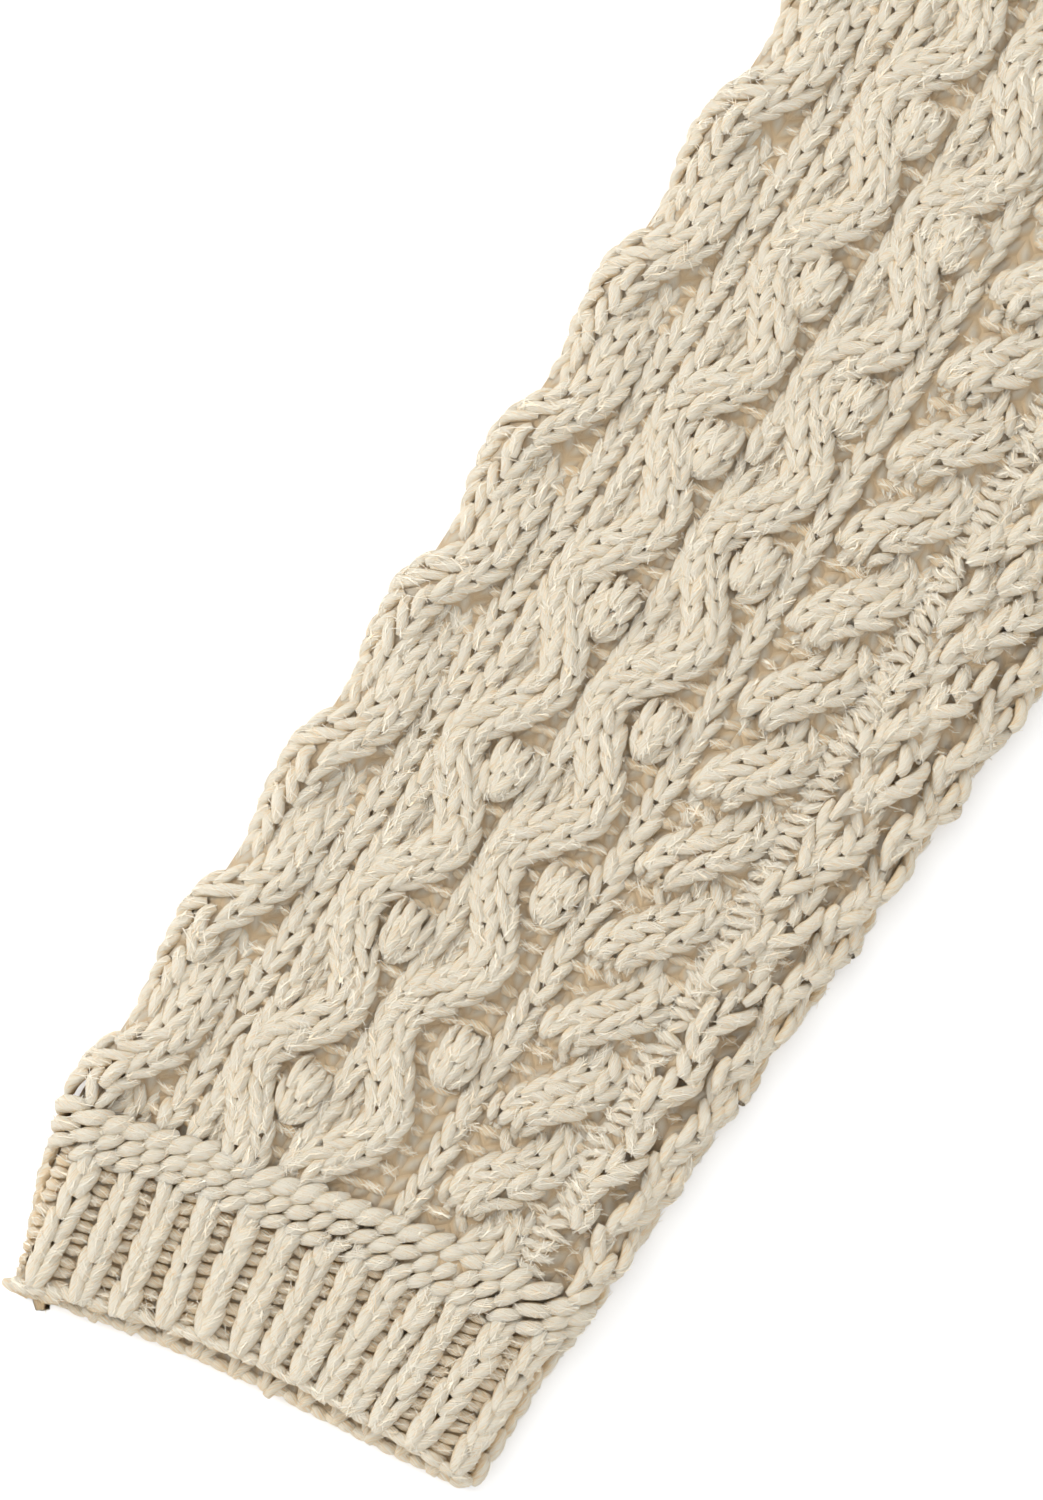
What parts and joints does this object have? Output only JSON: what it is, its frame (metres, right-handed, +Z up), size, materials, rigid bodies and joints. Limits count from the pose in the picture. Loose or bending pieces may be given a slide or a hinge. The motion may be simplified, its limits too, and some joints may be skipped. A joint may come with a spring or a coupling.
{
  "type": "cable knit cardigan",
  "caption": "Round-neck, long-sleeved button cardigan in thick cabled wool knit with ribbed cuffs, hem, bands and neckband, laid flat, fastened and face up",
  "frame": {"origin": "on the surface that the garment lies on, under the middle of its bounding box", "axes": "+Z up, out of the surface, +Y from the hem towards the neck, +X towards the wearer's left sleeve"},
  "size_m": [1.2626, 0.6515, 0.017],
  "materials": {
    "wool": "undyed cream wool, thick plied yarn, matte and slightly hairy",
    "button": "plain brown four-hole button, soft gloss"
  },
  "bodies": {
    "root": {"back": "wool", "hem_back": "wool", "front_right": "wool", "hem_front_right": "wool", "band_right": "wool", "front_left": "wool", "hem_front_left": "wool", "band_left": "wool", "neckband": "wool", "sleeve_right": "wool", "cuff_right": "wool", "sleeve_left": "wool", "cuff_left": "wool", "button_1": "button", "button_2": "button", "button_3": "button", "button_4": "button", "button_5": "button", "button_6": "button"}
  },
  "joints": []
}
